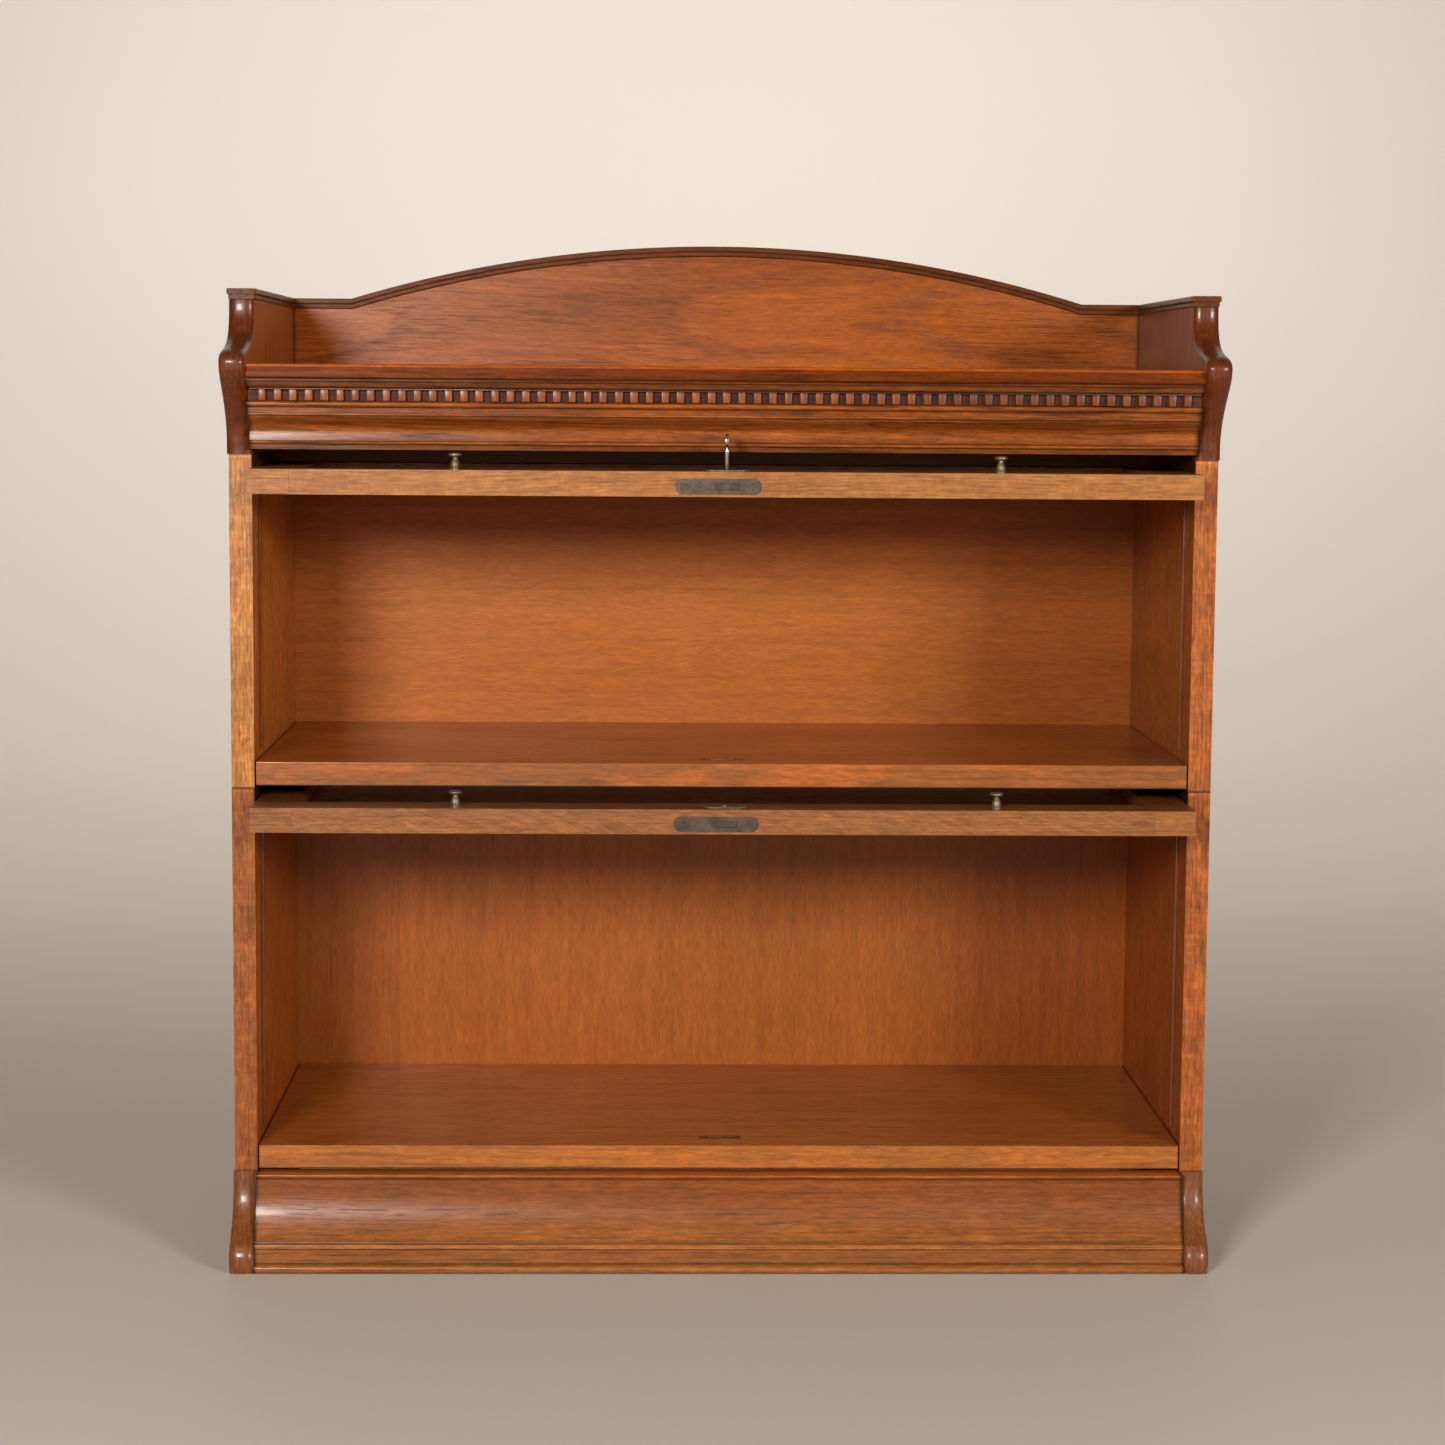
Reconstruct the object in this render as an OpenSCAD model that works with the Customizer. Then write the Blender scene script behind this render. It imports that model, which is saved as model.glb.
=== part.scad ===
// Two-section stacking bookcase with receding glazed doors, a base and a galleried top.
// Millimetres, +Z up, front towards -Y, X to the right. Origin on the floor, centred in width and in overall depth.
// Each sub-part is one module. Doors are drawn open and pushed back into their pockets.

/* [Case] */
// Outer width across the case sides
case_w = 864; // [760:1:1000]
// Depth of the case from front to back
case_d = 350; // [345:1:400]
// Thickness of the case sides
side_t = 20; // [20:0.5:26]
// Height of the base
base_h = 84.6; // [80:0.1:110]
// Height of the lower section
sec1_h = 343.5; // [335:0.5:400]
// Height of the upper section
sec2_h = 293; // [285:0.5:330]
// Thickness of the shelves
shelf_t = 21.2; // [19:0.1:24]

/* [Doors] */
// Thickness of the door frames
door_t = 21.6; // [20:0.1:22]
// Gap between the door and each case side
door_gap = 2.8; // [2.7:0.1:4]
// How far the stop beads stand in from the sides
bead_p = 2.4; // [1.5:0.1:2.4]
// Width of the door stiles and of the top rail
stile_w = 36; // [32:1:46]
// Width of the bottom rail, which holds the lock
rail_w = 42; // [40:1:50]
// How far the bottom edge stands in front of the case when the door is pushed back
rail_out = 61; // [45:1:70]
// Depth of the hinge line behind the case front when the door is closed
pivot_d = 30; // [26:0.5:34]

/* [Top] */
// Width of each gallery bracket
bracket_t = 22; // [20:0.5:24]
// Rise of the gallery arch above its shoulders
arch_rise = 53; // [40:1:60]
// Spacing of the dentils
dentil_pitch = 13.3; // [12:0.1:16]

/* [Hidden] */
$fn = 48;
e = 0.01;
hw = case_w / 2;                 // outer half width
hi = hw - side_t;                // inner half width
yc = (case_d - rail_out) / 2;    // shift that centres the overall depth
z1 = base_h;                     // bottom of the lower section
z2 = z1 + sec1_h;                // bottom of the upper section
z3 = z2 + sec2_h;                // bottom of the top unit
back_t = 8;
yb = case_d - 10.5;              // front face of the backs
shelf_up = 2.5;                  // shelf underside above the bottom of its section
groove_d = 9;                    // depth of the runner grooves
groove_h = 16;
top_a = 17.5;                    // hinge line to the door's top edge
sill = 1.6;                      // gap under a closed door
zb = [z1, z2, z3];               // section bottoms
zs = [z1 + shelf_up + shelf_t, z2 + shelf_up + shelf_t]; // shelf tops
drop = [19.8, 21.8];             // hinge line below the top of its section
zp = [z2 - drop[0], z3 - drop[1]];                       // hinge line heights
db = [zp[0] - zs[0] - sill, zp[1] - zs[1] - sill];       // hinge line to bottom edge
yp = [db[0] - rail_out, db[1] - rail_out];               // hinge line depth with the door pushed back
dw = hi - door_gap;              // half width of a door
ht = door_t / 2;
plate_x = -7.3;                  // middle of the lock plates
key_b = 16;                      // keyhole to the door's bottom edge
dowel_r = 4;
bar_y = 34;                      // equaliser bar behind the hinge line
z_top = z3 + 78.4;               // upper face of the top board
z_cap = z3 + 143.4;              // top of the gallery shoulders

oak = [0.62, 0.36, 0.17]; oak_light = [0.72, 0.46, 0.26]; oak_dark = [0.42, 0.2, 0.09];
steel = [0.45, 0.42, 0.4]; brassc = [0.75, 0.6, 0.3]; iron = [0.2, 0.19, 0.18]; glassc = [0.8, 0.9, 0.92, 0.35];

// points of an arc
function arc(c, r, a0, a1, n = 12) = [for (i = [0:n]) let (a = a0 + (a1 - a0) * i / n) [c[0] + r * cos(a), c[1] + r * sin(a)]];
// points of a smooth S from p to q, level at both ends in the first coordinate
function ess(p, q, n = 14) = [for (i = [0:n]) let (u = i / n) [p[0] + (q[0] - p[0]) * (1 - cos(180 * u)) / 2, p[1] + (q[1] - p[1]) * u]];
// point on a cubic through hand-set control points
function bez(a, b, c, d, u) = a * pow(1 - u, 3) + 3 * b * u * pow(1 - u, 2) + 3 * c * u * u * (1 - u) + d * u * u * u;
function curve(a, b, c, d, n = 12) = [for (i = [0:n]) bez(a, b, c, d, i / n)];

// place in the row frame from the case frame, whose Y is 0 at the case front
module P() { translate([0, -yc, 0]) children(); }
// prism along X of a (Y, Z) outline
module px(x0, x1, pts) { translate([x0, 0, 0]) rotate([90, 0, 90]) linear_extrude(x1 - x0) polygon(pts); }
// prism along Y of an (X, Z) outline
module py(y0, y1, pts) { translate([0, y1, 0]) rotate([90, 0, 0]) linear_extrude(y1 - y0) polygon(pts); }
module bx(x0, x1, y0, y1, za, zc) { translate([x0, y0, za]) cube([x1 - x0, y1 - y0, zc - za]); }

// ---- dowels between the stacked units ----
dowel_y = [60, case_d - 60];
module dowel_set(r, len) {
  for (z = [z1, z2, z3]) for (y = dowel_y) for (s = [-1, 1])
    translate([s * (hw - 6), y, z - len / 2]) cylinder(r = r, h = len, $fn = 32);
}
module locating_dowels() { color(oak_light) P() dowel_set(dowel_r, 15); }
module dowel_holes() { dowel_set(dowel_r + 0.05, 16); }

// ---- base ----
foot_pts = concat(
  [[case_d, 0], [case_d, base_h], [0, base_h]],
  curve([0, base_h - 2], [-1, base_h - 26], [-20, base_h - 40], [-33, 26], 14),
  curve([-34.2, 23], [-38.5, 16], [-40, 6], [-33, 0], 10));
module base_foot(s) {
  color(oak_dark) P() difference() {
    px(s > 0 ? hi : -hi - bracket_t, s > 0 ? hi + bracket_t : -hi, foot_pts);
    dowel_holes();
  }
}
module base_foot_left() { base_foot(-1); }
module base_foot_right() { base_foot(1); }
plinth_pts = concat(
  [[8, 0], [8, base_h], [-12, base_h], [-13.2, base_h - 1.2], [-13.2, base_h - 3]],
  [[-11.5, base_h - 4.5]],
  curve([-11.5, base_h - 5], [-12.3, base_h - 27], [-18, 44], [-28.6, 28], 18),
  [[-29, 27]],
  arc([-31, 25], 2, 90, 180, 6),
  [[-33, 22.5], [-31.6, 21.5], [-31.6, 9]],
  arc([-31, 4.4], 4.4, 120, 270, 10));
module base_plinth() { color(oak) P() px(-hi, hi, plinth_pts); }
module base_back_rail() { color(oak_dark) P() bx(-hi, hi, case_d - 18, case_d, 12, base_h); }
module base_glue_blocks() {
  color(oak_light) P() for (s = [-1, 1]) {
    bx(s > 0 ? hi - 32 : -hi, s > 0 ? hi : -hi + 32, 8, 40, 10, base_h - 4);
    bx(s > 0 ? hi - 32 : -hi, s > 0 ? hi : -hi + 32, case_d - 50, case_d - 18, 14, base_h - 4);
  }
}

// ---- sections ----
module side(i, s) {
  zc0 = zb[i]; zc1 = zb[i + 1];
  x0 = s > 0 ? hi : -hw; x1 = s > 0 ? hw : -hi;
  gx0 = s > 0 ? hi - e : -hi - groove_d; gx1 = s > 0 ? hi + groove_d : -hi + e;
  tx0 = s > 0 ? hi - e : -hi - 7; tx1 = s > 0 ? hi + 7 : -hi + e;
  color(oak) P() difference() {
    bx(x0, x1, 0, case_d, zc0, zc1);
    // runner groove, stopped at the front and at the back
    bx(gx0, gx1, pivot_d - 10.2, yp[i] + bar_y + 12.2, zp[i] - groove_h / 2, zp[i] + groove_h / 2);
    // stopped housing for the shelf tongue
    bx(tx0, tx1, 24, yb, zc0 + shelf_up + 5, zc0 + shelf_up + shelf_t - 5);
    // rebate for the back
    bx(s > 0 ? hi - e : -hi - 8, s > 0 ? hi + 8 : -hi + e, yb, case_d + 1, zc0 - 1, zc1 + 1);
    dowel_holes();
  }
}
module s1_side_left() { side(0, -1); }
module s1_side_right() { side(0, 1); }
module s2_side_left() { side(1, -1); }
module s2_side_right() { side(1, 1); }
module shelf(i) {
  za = zb[i] + shelf_up;
  color(oak_dark) P() difference() {
    union() {
      px(-hi + 1.6, hi - 1.6, concat(
        [[yb, za], [yb, za + shelf_t]],
        arc([0.8, za + shelf_t - 0.8], 0.8, 90, 180, 4),
        arc([0.8, za + 0.8], 0.8, 180, 270, 4)));
      bx(-hi - 7, -hi + 1.7, 24, yb, za + 5, za + shelf_t - 5);
      bx(hi - 1.7, hi + 7, 24, yb, za + 5, za + shelf_t - 5);
    }
    // seat for the strike plate and the hole the bolt shoots into
    strike_body(i, 0.05);
    bx(-11.5, 11.5, strike_y(i) - 4, strike_y(i) + 4, za + shelf_t - 11, za + shelf_t + 1);
  }
}
function strike_y(i) = pivot_d + 2.0;
module strike_body(i, g) {
  bx(-19 - g, 19 + g, strike_y(i) - 6 - g, strike_y(i) + 6 + g, zs[i] - 1.5, zs[i] + (g > 0 ? 1 : 0));
}
module strike(i) {
  color(steel) P() difference() {
    strike_body(i, 0);
    bx(-10.8, 10.8, strike_y(i) - 3.3, strike_y(i) + 3.3, zs[i] - 3, zs[i] + 1);
  }
}
module s1_shelf() { shelf(0); }
module s2_shelf() { shelf(1); }
module s1_strike() { strike(0); }
module s2_strike() { strike(1); }
module back(i) { color(oak) P() bx(-hi - 8, hi + 8, yb, yb + back_t, zb[i] + 0.1, zb[i + 1] - 0.1); }
module s1_back() { back(0); }
module s2_back() { back(1); }
bead_y = pivot_d + ht + 0.6;
module beads(i) {
  zt = zp[i] - groove_h / 2 - 4;
  color(oak_dark) P() for (s = [-1, 1]) difference() {
    bx(s > 0 ? hi - bead_p : -hi, s > 0 ? hi : -hi + bead_p, bead_y, bead_y + 9, zs[i] + 8, zt);
    // rounded ends
    translate([s * (hi - bead_p) - s * 1, bead_y + 4.5, zt]) rotate([0, s * 35, 0]) cube([4, 12, 3], center = true);
  }
}
module s1_stop_beads() { beads(0); }
module s2_stop_beads() { beads(1); }

// ---- top unit ----
br_pts = concat(
  [[case_d, z3], [case_d, z_cap - 9.5], [23, z_cap - 9.5]],
  curve([23, z_cap - 22], [24, z_cap - 36], [12, z_cap - 44], [-20, z_cap - 50.5], 14),
  curve([-24, z_cap - 51], [-44, z_cap - 54], [-50.5, z_cap - 57], [-50, z_cap - 66], 12),
  curve([-49.6, z_cap - 70], [-43, z_cap - 86], [-8, z_cap - 100], [0, z3 + 14], 14),
  [[0, z3]]);
module bracket(s) {
  color(oak_dark) P() difference() {
    px(s > 0 ? hi : -hi - bracket_t, s > 0 ? hi + bracket_t : -hi, br_pts);
    dowel_holes();
  }
}
module top_bracket_left() { bracket(-1); }
module top_bracket_right() { bracket(1); }
gb_t = 14;                       // gallery back board thickness
module top_board() {
  color(oak) P() px(-hi, hi, concat(
    [[case_d - gb_t, z_top - 12.9], [case_d - gb_t, z_top]],
    arc([-38.6, z_top - 1.4], 1.4, 90, 180, 5),
    [[-40, z_top - 11.4], [-38.5, z_top - 12.9]]));
}
cornice_pts = concat(
  [[18, z3 + 4.7], [18, z_top - 12.9], [-37, z_top - 12.9], [-37, z_top - 14.6]],
  curve([-36, z_top - 15.4], [-36, z_top - 18], [-34.5, z_top - 20], [-31.5, z_top - 21], 8),
  [[-24, z_top - 21], [-24, z3 + 46.8], [-27.5, z3 + 46.8]],
  arc([-27.5, z3 + 44.1], 2.7, 90, 270, 10),
  [[-24, z3 + 41.2], [-24, z3 + 36.4], [-25.5, z3 + 35.8], [-25.5, z3 + 34.4]],
  ess([-24.5, z3 + 33.8], [-10.5, z3 + 12.6], 16),
  [[-10.5, z3 + 12.2], [-12, z3 + 11.6], [-12, z3 + 9.6], [-7, z3 + 9], [-7, z3 + 4.7]]);
module top_cornice() { color(oak) P() px(-hi, hi, cornice_pts); }
module top_dentils() {
  dz0 = z3 + 46.8; dz1 = z_top - 21;
  n = floor((2 * hi - 6) / dentil_pitch);
  x0 = -n * dentil_pitch / 2;
  tooth = dentil_pitch * 0.46;
  color(oak_light) P() union() {
    bx(-hi + 0.2, hi - 0.2, -25, -24, dz0, dz1);
    py(-31, -25 + e, concat(
      [[-hi + 2, dz1], [-hi + 2, dz1 - 1.2]],
      [for (k = [0:n - 1]) each let (c = x0 + (k + 0.5) * dentil_pitch)
        [[c - tooth / 2, dz1 - 1.2], [c - tooth / 2, dz0], [c + tooth / 2, dz0], [c + tooth / 2, dz1 - 1.2]]],
      [[hi - 2, dz1 - 1.2], [hi - 2, dz1]]));
  }
}
// gallery arch: a segment between two level shoulders
arch_x = 355;
arch_r = (arch_x * arch_x + arch_rise * arch_rise) / (2 * arch_rise);
function arch(dr, n = 60) = [for (i = [0:n]) let (x = -arch_x + 2 * arch_x * i / n) [x, z_cap + arch_rise - arch_r + sqrt(pow(arch_r, 2) - x * x) - dr]];
module gallery_back() {
  color(oak) P() py(case_d - gb_t, case_d, concat(
    [[-hi, z3 + 0.1], [-hi, z_cap - 9.5]], arch(9.5), [[hi, z_cap - 9.5], [hi, z3 + 0.1]]));
}
module gallery_cap_back() {
  color(oak_dark) P() union() {
    py(case_d - gb_t - 5, case_d, concat([[-hi - 23, z_cap - 5], [-hi - 23, z_cap]], arch(0), [[hi + 23, z_cap], [hi + 23, z_cap - 5]],
      [for (i = [60:-1:0]) arch(5)[i]]));
    py(case_d - gb_t - 3, case_d, concat([[-hi - 22, z_cap - 9.5], [-hi - 22, z_cap - 5 + e]], arch(5 - e), [[hi + 22, z_cap - 5 + e], [hi + 22, z_cap - 9.5]],
      [for (i = [60:-1:0]) arch(9.5)[i]]));
  }
}
module gallery_cap(s) {
  x0 = s > 0 ? hi - 2.5 : -hi - 23; x1 = s > 0 ? hi + 23 : -hi + 2.5;
  color(oak_dark) P() union() {
    bx(x0, x1, 18, case_d - gb_t - 5, z_cap - 5, z_cap);
    bx(x0 + 1.3, x1 - 1.3, 20, case_d - gb_t - 5, z_cap - 9.5, z_cap - 5 + e);
  }
}
module gallery_cap_left() { gallery_cap(-1); }
module gallery_cap_right() { gallery_cap(1); }

// ---- carriages: the runners slide in the side grooves and the equaliser bar joins them ----
module runners(i) {
  color(iron) P() for (s = [-1, 1]) difference() {
    bx(s > 0 ? hi - 1.8 : -hi - groove_d + 0.3, s > 0 ? hi + groove_d - 0.3 : -hi + 1.8,
       yp[i] - 9.7, yp[i] + bar_y + 11.7, zp[i] - groove_h / 2 + 0.2, zp[i] + groove_h / 2 - 0.2);
    // bearing for the door's pivot pin
    translate([0, yp[i], zp[i]]) rotate([0, 90, 0]) cylinder(r = 3.05, h = 2 * hw, center = true, $fn = 64);
  }
}
module equaliser(i) {
  color(iron) P() union() {
    bx(-hi + 1.8, hi - 1.8, yp[i] + bar_y - 8, yp[i] + bar_y + 8, zp[i] - 3, zp[i] + 3);
    for (s = [-1, 1]) translate([s * (hi - 8), yp[i] + bar_y, zp[i]]) cylinder(r = 3.4, h = 9, center = true, $fn = 32);
  }
}
module d1_runners() { runners(0); }
module d2_runners() { runners(1); }
module d1_equaliser() { equaliser(0); }
module d2_equaliser() { equaliser(1); }

// ---- doors: drawn closed about the hinge line (front face -Y), then laid open ----
module open(i) { P() translate([0, yp[i], zp[i]]) rotate([-90, 0, 0]) children(); }
// rebate on the back of the frame for the glass: front of the rebate at ht-10
reb_w = 6;
module stile(i, s) {
  x0 = s > 0 ? dw - stile_w : -dw; x1 = s > 0 ? dw : -dw + stile_w;
  rx0 = s > 0 ? x0 - e : x1 - reb_w; rx1 = s > 0 ? x0 + reb_w : x1 + e;
  mx0 = s > 0 ? x0 - e : x1 - 22; mx1 = s > 0 ? x0 + 22 : x1 + e;
  color(oak) open(i) difference() {
    bx(x0, x1, -ht, ht, -db[i], top_a);
    bx(rx0, rx1, ht - 10, ht + e, -db[i] + rail_w - reb_w, top_a - stile_w + reb_w);
    // mortises for the rail tenons
    bx(mx0, mx1, -4, 4, top_a - stile_w + 8, top_a - 8);
    bx(mx0, mx1, -4, 4, -db[i] + 8, -db[i] + rail_w - 8);
    // pivot pin hole
    translate([s * (dw - 10), 0, 0]) rotate([0, 90, 0]) cylinder(r = 3.02, h = 20 + 2 * e, center = true, $fn = 64);
  }
}
module rail_top(i) {
  w = dw - stile_w;
  color(oak) open(i) difference() {
    union() {
      bx(-w, w, -ht, ht, top_a - stile_w, top_a);
      bx(-w - 21.8, w + 21.8, -4, 4, top_a - stile_w + 8, top_a - 8);
    }
    bx(-w - e, w + e, ht - 10, ht + e, top_a - stile_w - e, top_a - stile_w + reb_w);
    for (s = [-1, 1]) rotate([0, s * 90, 0]) translate([0, 0, dw - 20.05]) cylinder(r = 3.02, h = 30, $fn = 64);
  }
}
// lock frame: keyhole on the Y axis, door's bottom edge at z = -db
lock_y = 2.0;                    // bolt line behind the door's middle
module lock_outline(g, d) {
  translate([plate_x, lock_y, 0]) {
    cube([74 - 13.4 + 0, 13.4 + 2 * g, 2 * d], center = true);
    for (s = [-1, 1]) translate([s * (37 - 6.7), 0, 0]) cylinder(r = 6.7 + g, h = 2 * d, center = true, $fn = 48);
  }
}
module rail_bottom(i) {
  w = dw - stile_w;
  color(oak_light) open(i) difference() {
    union() {
      bx(-w, w, -ht, ht, -db[i], -db[i] + rail_w);
      bx(-w - 21.8, w + 21.8, -4, 4, -db[i] + 8, -db[i] + rail_w - 8);
    }
    bx(-w - e, w + e, ht - 10, ht + e, -db[i] + rail_w - reb_w, -db[i] + rail_w + e);
    // recess for the lock plate, mortise for the case and its keyhole
    translate([0, 0, -db[i]]) intersection() { lock_outline(0.1, 1.6); translate([0, 0, 1]) cube([200, 50, 2.0 + 3.2], center = true); }
    bx(plate_x - 22.1, plate_x + 22.1, lock_y - 6.1, lock_y + 6.1, -db[i] - 1, -db[i] + 27.1);
    translate([0, -ht - 1, -db[i] + key_b]) rotate([-90, 0, 0]) cylinder(r = 2.9, h = ht, $fn = 40);
    for (s = [-1, 1]) translate([plate_x + s * 29.2, lock_y, -db[i] - 1]) cylinder(r = 1.6, h = 15, $fn = 32);
    // knob bores
    for (x = knob_x[i]) translate([x, -ht - 1, -db[i] + 13]) rotate([-90, 0, 0]) cylinder(r = 2.05, h = 11, $fn = 32);
  }
}
module lock(i) {
  color(steel) open(i) translate([0, 0, -db[i]]) difference() {
    union() {
      intersection() { lock_outline(0, 1.5); translate([0, 0, 10]) cube([200, 50, 20], center = true); }
      bx(plate_x - 22, plate_x + 22, lock_y - 6, lock_y + 6, 1, 27);
    }
    // bolt channel
    bx(-10.2, 10.2, lock_y - 2.7, lock_y + 2.7, -e, 9.2);
    // chamber in which the key's bit turns, and the keyhole in front of it
    translate([0, lock_y - 2.7, key_b]) rotate([-90, 0, 0]) cylinder(r = 6.6, h = 5.4, $fn = 48);
    translate([0, lock_y - 7, key_b]) rotate([-90, 0, 0]) cylinder(r = 2.6, h = 7, $fn = 40);
    for (s = [-1, 1]) translate([plate_x + s * 29.2, lock_y, -1]) {
      cylinder(r = 1.7, h = 5, $fn = 32);
      translate([0, 0, 0.9]) cylinder(r1 = 3.3, r2 = 1.7, h = 1.6, $fn = 32);
    }
  }
}
module lock_screws(i) {
  color(iron) open(i) translate([0, 0, -db[i]]) for (s = [-1, 1]) translate([plate_x + s * 29.2, lock_y, 0]) difference() {
    union() {
      translate([0, 0, 0.15]) cylinder(r = 1.5, h = 12.85, $fn = 32);
      translate([0, 0, 0.15]) cylinder(r1 = 3.0, r2 = 1.5, h = 1.35, $fn = 32);
    }
    rotate([0, 0, 20 + 50 * s]) cube([8, 0.7, 1.2], center = true);
  }
}
module bolt(i) {
  color(steel) open(i) bx(-10, 10, lock_y - 2.5, lock_y + 2.5, -db[i] + 0.3, -db[i] + 9);
}
module escutcheon(i) {
  color(brassc) open(i) translate([0, -ht, -db[i] + key_b]) rotate([90, 0, 0]) difference() {
    union() {
      cube([22, 18, 2.2], center = true);
      for (s = [-1, 1]) translate([s * 11, 0, 0]) cylinder(r = 9, h = 2.2, center = true, $fn = 48);
    }
    cylinder(r = 2.7, h = 6, center = true, $fn = 40);
    translate([0, 0, -5]) cube([60, 60, 10], center = true);
  }
}
// knob places across each door, left and right of the middle
knob_x = [[-233, 236.6], [-232.7, 235.7]];
module knobs(i) {
  color(brassc) open(i) for (x = knob_x[i]) translate([x, -ht, -db[i] + 13]) rotate([90, 0, 0]) union() {
    rotate_extrude($fn = 48) polygon(concat(
      [[0, 0], [4.6, 0], [4.6, 1.1], [3.9, 1.7]],
      [for (k = [0:10]) let (u = k / 10) [3.9 + 0.35 * sin(180 * u) - 1.3 * u * u, 2.1 + 6.3 * u]],
      [[2.3, 9.2], [2.2, 10.4], [3.4, 11.2], [5.4, 11.8], [5.9, 12.4], [5.8, 13.5], [4.6, 14.3], [0, 14.7]]));
    translate([0, 0, -9.8]) cylinder(r = 2, h = 9.9, $fn = 32);
  }
}
module glass(i) {
  gx = dw - stile_w + reb_w - 1; z0 = -db[i] + rail_w - reb_w + 1; zt = top_a - stile_w + reb_w - 1;
  color(glassc) open(i) bx(-gx, gx, ht - 10, ht - 7, z0, zt);
}
module glazing_beads(i) {
  gx = dw - stile_w + reb_w; z0 = -db[i] + rail_w - reb_w; zt = top_a - stile_w + reb_w;
  color(oak_dark) open(i) {
    bx(-gx, gx, ht - 7, ht - 0.2, z0, z0 + 6);
    bx(-gx, gx, ht - 7, ht - 0.2, zt - 6, zt);
    for (s = [-1, 1]) bx(s > 0 ? gx - 6 : -gx, s > 0 ? gx : -gx + 6, ht - 7, ht - 0.2, z0 + 6, zt - 6);
  }
}
module pivot_pins(i) {
  color(steel) open(i) for (s = [-1, 1]) rotate([0, s * 90, 0]) translate([0, 0, dw - 20]) cylinder(r = 3, h = 20 + door_gap + 6.5, $fn = 64);
}
module d1_stile_left() { stile(0, -1); }
module d1_stile_right() { stile(0, 1); }
module d1_rail_top() { rail_top(0); }
module d1_rail_bottom() { rail_bottom(0); }
module d1_glass() { glass(0); }
module d1_glazing_beads() { glazing_beads(0); }
module d1_pivot_pins() { pivot_pins(0); }
module d1_knobs() { knobs(0); }
module d1_escutcheon() { escutcheon(0); }
module d1_lock() { lock(0); }
module d1_lock_screws() { lock_screws(0); }
module d1_bolt() { bolt(0); }
module d2_stile_left() { stile(1, -1); }
module d2_stile_right() { stile(1, 1); }
module d2_rail_top() { rail_top(1); }
module d2_rail_bottom() { rail_bottom(1); }
module d2_glass() { glass(1); }
module d2_glazing_beads() { glazing_beads(1); }
module d2_pivot_pins() { pivot_pins(1); }
module d2_knobs() { knobs(1); }
module d2_escutcheon() { escutcheon(1); }
module d2_lock() { lock(1); }
module d2_lock_screws() { lock_screws(1); }
module d2_bolt() { bolt(1); }

// ---- key, standing in the upper lock with its bow edge towards the front ----
module key() {
  color(steel) open(1) translate([0, 0, -db[1] + key_b]) rotate([90, 0, 0]) union() {
    // z here runs out of the door's front face, from the middle of the door
    translate([0, 0, -lock_y - 2.4]) cylinder(r = 2.4, h = ht + 18 + lock_y + 2.4, $fn = 40);
    translate([0, 0, ht + 16]) cylinder(r = 3, h = 2, $fn = 40);
    translate([0, 0, ht + 17]) cylinder(r = 1.6, h = 4.6, $fn = 40);
    // bit
    translate([-0.9, 0, -lock_y - 2.4]) cube([1.8, 6.1, 4.8]);
    // bow
    translate([0, 0, ht + 26.2]) rotate([0, 90, 0]) difference() {
      cylinder(r = 5.8, h = 2.4, center = true, $fn = 48);
      cylinder(r = 3.4, h = 4, center = true, $fn = 48);
    }
  }
}

base_foot_left();
base_foot_right();
base_plinth();
base_back_rail();
base_glue_blocks();
s1_side_left();
s1_side_right();
s1_shelf();
s1_back();
s1_stop_beads();
s1_strike();
s2_side_left();
s2_side_right();
s2_shelf();
s2_back();
s2_stop_beads();
s2_strike();
top_bracket_left();
top_bracket_right();
top_board();
top_cornice();
top_dentils();
gallery_back();
gallery_cap_back();
gallery_cap_left();
gallery_cap_right();
locating_dowels();
d1_runners();
d1_equaliser();
d1_stile_left();
d1_stile_right();
d1_rail_top();
d1_rail_bottom();
d1_glass();
d1_glazing_beads();
d1_pivot_pins();
d1_knobs();
d1_escutcheon();
d1_lock();
d1_lock_screws();
d1_bolt();
d2_runners();
d2_equaliser();
d2_stile_left();
d2_stile_right();
d2_rail_top();
d2_rail_bottom();
d2_glass();
d2_glazing_beads();
d2_pivot_pins();
d2_knobs();
d2_escutcheon();
d2_lock();
d2_lock_screws();
d2_bolt();
key();
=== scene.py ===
import math
import bpy, bmesh
from mathutils import Vector, Matrix


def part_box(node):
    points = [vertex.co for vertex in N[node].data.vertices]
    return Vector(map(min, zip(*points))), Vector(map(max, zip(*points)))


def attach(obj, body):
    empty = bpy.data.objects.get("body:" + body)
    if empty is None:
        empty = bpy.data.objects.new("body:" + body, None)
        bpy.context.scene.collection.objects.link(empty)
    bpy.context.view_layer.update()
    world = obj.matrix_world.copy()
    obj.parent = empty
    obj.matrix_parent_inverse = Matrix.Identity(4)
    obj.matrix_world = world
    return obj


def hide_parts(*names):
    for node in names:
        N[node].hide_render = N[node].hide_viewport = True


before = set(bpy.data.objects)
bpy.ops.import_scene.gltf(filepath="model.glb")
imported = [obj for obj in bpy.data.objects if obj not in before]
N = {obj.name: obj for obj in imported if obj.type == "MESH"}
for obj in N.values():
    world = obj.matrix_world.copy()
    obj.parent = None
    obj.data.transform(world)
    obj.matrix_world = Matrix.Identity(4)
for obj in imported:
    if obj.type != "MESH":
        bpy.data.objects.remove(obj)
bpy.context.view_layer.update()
scene = bpy.context.scene

# ------------------------------------------------------------------ frame positions
def B(n):
    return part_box(n)

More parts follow.
